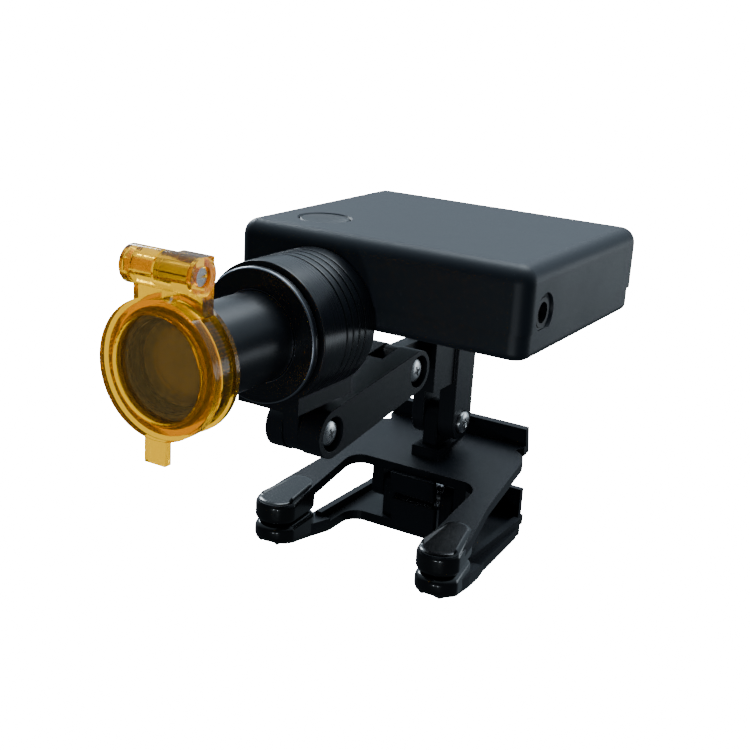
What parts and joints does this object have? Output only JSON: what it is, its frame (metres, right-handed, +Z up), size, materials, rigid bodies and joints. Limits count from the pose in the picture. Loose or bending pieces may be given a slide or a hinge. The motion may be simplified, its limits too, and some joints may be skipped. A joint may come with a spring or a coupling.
{
  "type": "clip-on dental headlight",
  "caption": "Wireless clip-on headlight with a flat battery case, grooved lamp collar, flip-up amber filter, hinged bracket and a four-armed spring clip.",
  "frame": {"origin": "grip point: midway between the four clip tips, on the line where the upper and lower pads meet", "axes": "+Z up, the lamp shines towards -Y, +X towards the side with the charging jack"},
  "size_m": [0.0629, 0.1066, 0.0754],
  "materials": {
    "soft_black": "soft-touch matte",
    "black_steel": "black oxide",
    "button_grey": "soft-touch matte",
    "black_plastic": "satin",
    "board_green": "solder mask",
    "cell_foil": "laminated foil",
    "jack_brass": "polished",
    "black_aluminium": "black anodised",
    "clear_glass": "polished",
    "white_board": "matte",
    "led_yellow": "phosphor",
    "bracket_black": "moulded satin",
    "bright_steel": "nickel plated",
    "clip_black": "moulded satin",
    "spring_steel": "drawn wire",
    "pad_rubber": "glossy",
    "amber_plastic": "clear tinted",
    "amber_window": "polished tinted"
  },
  "bodies": {
    "clip": {"upper_jaw": "clip_black", "upper_left_pad": "pad_rubber", "upper_right_pad": "pad_rubber", "jaw_pin": "bright_steel", "jaw_spring": "spring_steel"},
    "lower_jaw": {"lower_jaw": "clip_black", "lower_left_pad": "pad_rubber", "lower_right_pad": "pad_rubber", "spring_leg": "spring_steel"},
    "post": {"post_arm": "bracket_black", "clip_pivot_screw": "bright_steel", "clip_pivot_nut": "bright_steel"},
    "link": {"swing_link": "bracket_black", "link_pivot_screws": "bright_steel", "link_pivot_nuts": "bright_steel"},
    "head": {"case_top_shell": "soft_black", "case_bottom_cover": "soft_black", "case_screws": "black_steel", "push_switch": "black_plastic", "circuit_board": "board_green", "battery_cell": "cell_foil", "charge_jack": "black_plastic", "charge_jack_pin": "jack_brass", "heat_sink_collar": "black_aluminium", "collar_screws": "black_steel", "flange_ring": "black_aluminium", "led_board": "white_board", "led_chip": "led_yellow", "bracket_block": "bracket_black", "bracket_screw": "black_steel"},
    "button": {"power_button": "button_grey"},
    "focus": {"lens_barrel": "black_aluminium", "lens": "clear_glass", "lens_retainer": "black_aluminium", "filter_holder": "amber_plastic", "filter_hinge_screw": "bright_steel", "filter_hinge_nut": "bright_steel"},
    "filter": {"filter_frame": "amber_plastic", "filter_window": "amber_window"}
  },
  "joints": [
    {"name": "jaw_hinge", "type": "hinge", "parent": "clip", "child": "lower_jaw", "pos_m": [0, 0.027, 0.0016], "axis": [1, 0, 0], "range_deg": [0, 20], "stiffness_Nm_per_rad": 0.3, "springref_deg": -20.05},
    {"name": "post_hinge", "type": "hinge", "parent": "clip", "child": "post", "pos_m": [0, 0.0323, 0.0176], "axis": [1, 0, 0], "range_deg": [-8, 15]},
    {"name": "link_hinge", "type": "hinge", "parent": "post", "child": "link", "pos_m": [0, 0.0099, 0.0344], "axis": [1, 0, 0], "range_deg": [-8, 20]},
    {"name": "head_hinge", "type": "hinge", "parent": "link", "child": "head", "pos_m": [0, -0.0204, 0.0301], "axis": [1, 0, 0], "range_deg": [-4, 30]},
    {"name": "focus_slide", "type": "slide", "parent": "head", "child": "focus", "axis": [0, 1, 0], "range_m": [0, 0.0025]},
    {"name": "filter_hinge", "type": "hinge", "parent": "focus", "child": "filter", "pos_m": [0, -0.0605, 0.0657], "axis": [-1, 0, 0], "range_deg": [0, 110]},
    {"name": "power_button_press", "type": "slide", "parent": "head", "child": "button", "axis": [0, 0, -1], "range_m": [0, 0.0004], "stiffness_N_per_m": 800}
  ]
}
